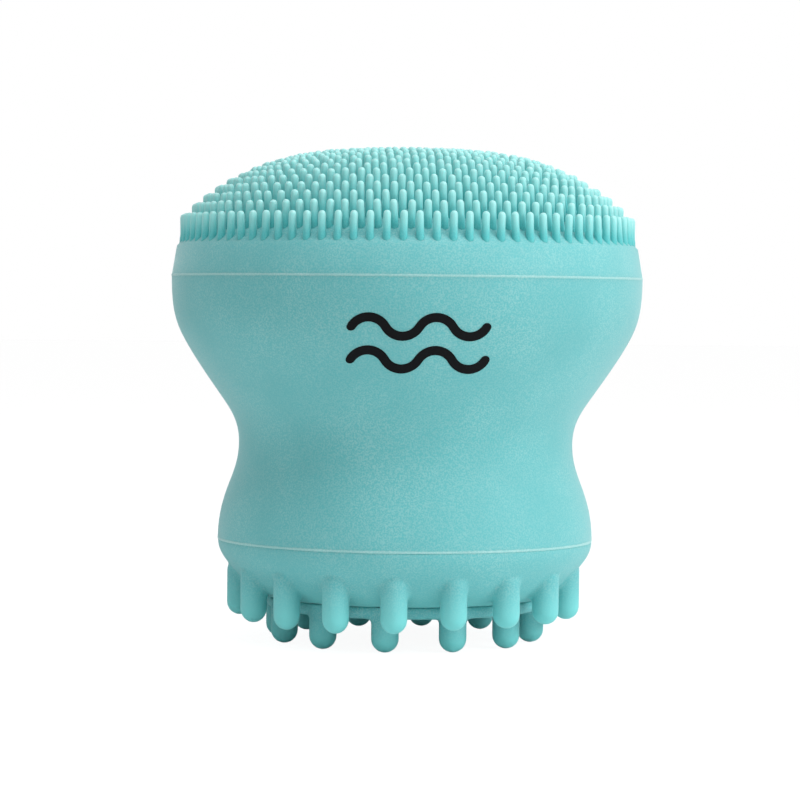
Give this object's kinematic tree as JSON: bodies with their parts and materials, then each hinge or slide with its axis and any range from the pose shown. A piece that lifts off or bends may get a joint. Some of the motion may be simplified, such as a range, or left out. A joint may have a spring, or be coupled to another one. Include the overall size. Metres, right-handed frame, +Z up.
{
  "type": "facial cleansing brush",
  "caption": "Waisted soft silicone hand brush with a domed head of fine bristles, a base ringed with round nubs, and a pull-out plug under a foaming sponge.",
  "frame": {"origin": "on the brush's axis, level with the tips of the inner nubs that it stands on", "axes": "+Z up along the brush's axis towards the bristles, -Y towards the side with the print"},
  "size_m": [0.0612, 0.0612, 0.0638],
  "materials": {
    "head_silicone": "matte teal silicone",
    "bristle_silicone": "matte teal silicone, paler where it is thin",
    "body_silicone": "matte teal silicone",
    "base_silicone": "matte teal silicone",
    "plug_silicone": "matte teal silicone",
    "sponge_foam": "open-cell cream foam",
    "black_ink": "printed black ink"
  },
  "bodies": {
    "body": {"body_shell": "body_silicone", "base_ring": "base_silicone", "upper_wave_print": "black_ink", "lower_wave_print": "black_ink"},
    "head": {"brush_head": "head_silicone", "bristles": "bristle_silicone"},
    "plug": {"bottom_plug": "plug_silicone"},
    "sponge": {"foaming_sponge": "sponge_foam"}
  },
  "joints": [
    {"name": "head_press", "type": "slide", "parent": "body", "child": "head", "axis": [0, 0, -1], "range_m": [0, 0.008], "stiffness_N_per_m": 1000, "deforming": ["body_shell", "upper_wave_print", "lower_wave_print"]},
    {"name": "plug_pull", "type": "slide", "parent": "body", "child": "plug", "axis": [0, 0, -1], "range_m": [0, 0.05]},
    {"name": "sponge_lift", "type": "slide", "parent": "plug", "child": "sponge", "axis": [0, 0, 1], "range_m": [0, 0.008]}
  ]
}
